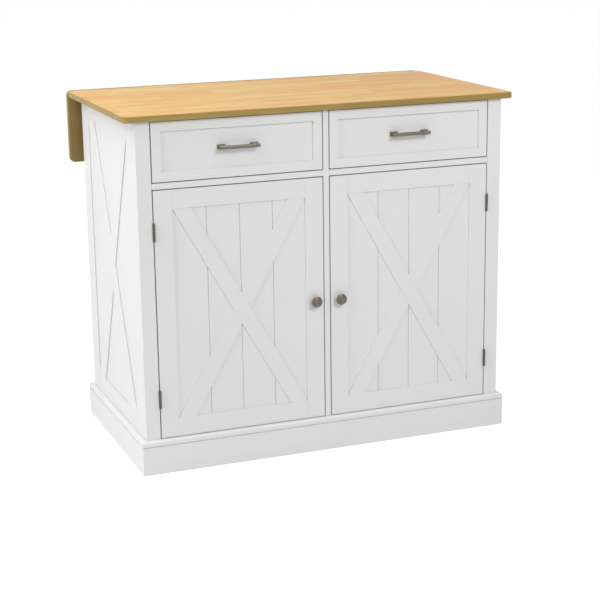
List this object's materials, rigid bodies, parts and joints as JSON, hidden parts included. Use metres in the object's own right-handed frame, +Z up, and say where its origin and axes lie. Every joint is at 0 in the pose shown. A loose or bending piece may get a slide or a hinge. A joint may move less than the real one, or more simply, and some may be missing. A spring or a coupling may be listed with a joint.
{
  "type": "kitchen storage cabinet",
  "caption": "Freestanding white kitchen cabinet with wood worktop, hinged rear drop leaf, drawers above cross-braced doors, shelves and a moulded plinth.",
  "frame": {"origin": "on the floor, at the middle of the width and depth of the closed cabinet with the leaf hanging", "axes": "+X to the right seen from the front, +Y from the front to the back, +Z up"},
  "size_m": [1.0478, 0.5968, 0.9081],
  "materials": {
    "white_paint": "satin white paint on fibreboard",
    "inner_board": "white melamine on board",
    "oiled_wood": "clear lacquer on honey-coloured boards",
    "handle_nickel": "warm brushed nickel",
    "hinge_nickel": "antique nickel",
    "zinc_steel": "bright zinc plate",
    "catch_plastic": "white moulded plastic"
  },
  "bodies": {
    "cabinet": {"worktop": "oiled_wood", "front_stiles": "white_paint", "side_panel_left": "white_paint", "side_panel_right": "white_paint", "side_trim_left": "white_paint", "side_trim_right": "white_paint", "centre_partition": "white_paint", "mid_rails": "white_paint", "top_stretchers": "inner_board", "bottom_panel": "inner_board", "back_panel": "inner_board", "runner_packers": "inner_board", "shelf_left": "inner_board", "shelf_right": "inner_board", "shelf_pins": "zinc_steel", "plinth_front": "white_paint", "plinth_rear": "white_paint", "plinth_sides": "white_paint", "hinge_plates": "hinge_nickel", "hinge_pins": "hinge_nickel", "door_catches": "catch_plastic", "fixed_runners": "zinc_steel", "leaf_brackets": "zinc_steel", "carcass_screws": "zinc_steel"},
    "door_left": {"door_left_stiles": "white_paint", "door_left_rails": "white_paint", "door_left_panel": "white_paint", "door_left_cross": "white_paint", "door_left_knob": "handle_nickel", "door_left_hinge_leaves": "hinge_nickel", "door_left_fixings": "zinc_steel"},
    "door_right": {"door_right_stiles": "white_paint", "door_right_rails": "white_paint", "door_right_panel": "white_paint", "door_right_cross": "white_paint", "door_right_knob": "handle_nickel", "door_right_hinge_leaves": "hinge_nickel", "door_right_fixings": "zinc_steel"},
    "drawer_left": {"drawer_left_front_panel": "white_paint", "drawer_left_front_frame": "white_paint", "drawer_left_sides": "inner_board", "drawer_left_back": "inner_board", "drawer_left_bottom": "inner_board", "drawer_left_pull": "handle_nickel", "drawer_left_pull_screws": "zinc_steel", "drawer_left_runners": "zinc_steel"},
    "drawer_right": {"drawer_right_front_panel": "white_paint", "drawer_right_front_frame": "white_paint", "drawer_right_sides": "inner_board", "drawer_right_back": "inner_board", "drawer_right_bottom": "inner_board", "drawer_right_pull": "handle_nickel", "drawer_right_pull_screws": "zinc_steel", "drawer_right_runners": "zinc_steel"},
    "middle_runners_left": {"drawer_left_middle_runners": "zinc_steel"},
    "middle_runners_right": {"drawer_right_middle_runners": "zinc_steel"},
    "leaf": {"drop_leaf": "oiled_wood", "leaf_arms": "zinc_steel", "leaf_pins": "zinc_steel", "leaf_screws": "zinc_steel"}
  },
  "joints": [
    {"name": "door_left_hinge", "type": "hinge", "parent": "cabinet", "child": "door_left", "pos_m": [-0.45522, -0.28365, 0.405], "axis": [0, 0, -1], "range_deg": [0, 110]},
    {"name": "door_right_hinge", "type": "hinge", "parent": "cabinet", "child": "door_right", "pos_m": [0.45522, -0.28365, 0.405], "axis": [0, 0, 1], "range_deg": [0, 110]},
    {"name": "drawer_left_slide", "type": "slide", "parent": "cabinet", "child": "drawer_left", "axis": [0, -1, 0], "range_m": [0, 0.33]},
    {"name": "drawer_right_slide", "type": "slide", "parent": "cabinet", "child": "drawer_right", "axis": [0, -1, 0], "range_m": [0, 0.33]},
    {"name": "middle_runners_left_slide", "type": "slide", "parent": "cabinet", "child": "middle_runners_left", "axis": [0, -1, 0], "range_m": [0, 0.165]},
    {"name": "middle_runners_right_slide", "type": "slide", "parent": "cabinet", "child": "middle_runners_right", "axis": [0, -1, 0], "range_m": [0, 0.165]},
    {"name": "leaf_hinge", "type": "hinge", "parent": "cabinet", "child": "leaf", "pos_m": [0, 0.29045, 0.90005], "axis": [1, 0, 0], "range_deg": [0, 90]}
  ],
  "couplings": [
    {"joint": "middle_runners_left_slide", "follows": "drawer_left_slide", "ratio": 0.5},
    {"joint": "middle_runners_right_slide", "follows": "drawer_right_slide", "ratio": 0.5}
  ]
}
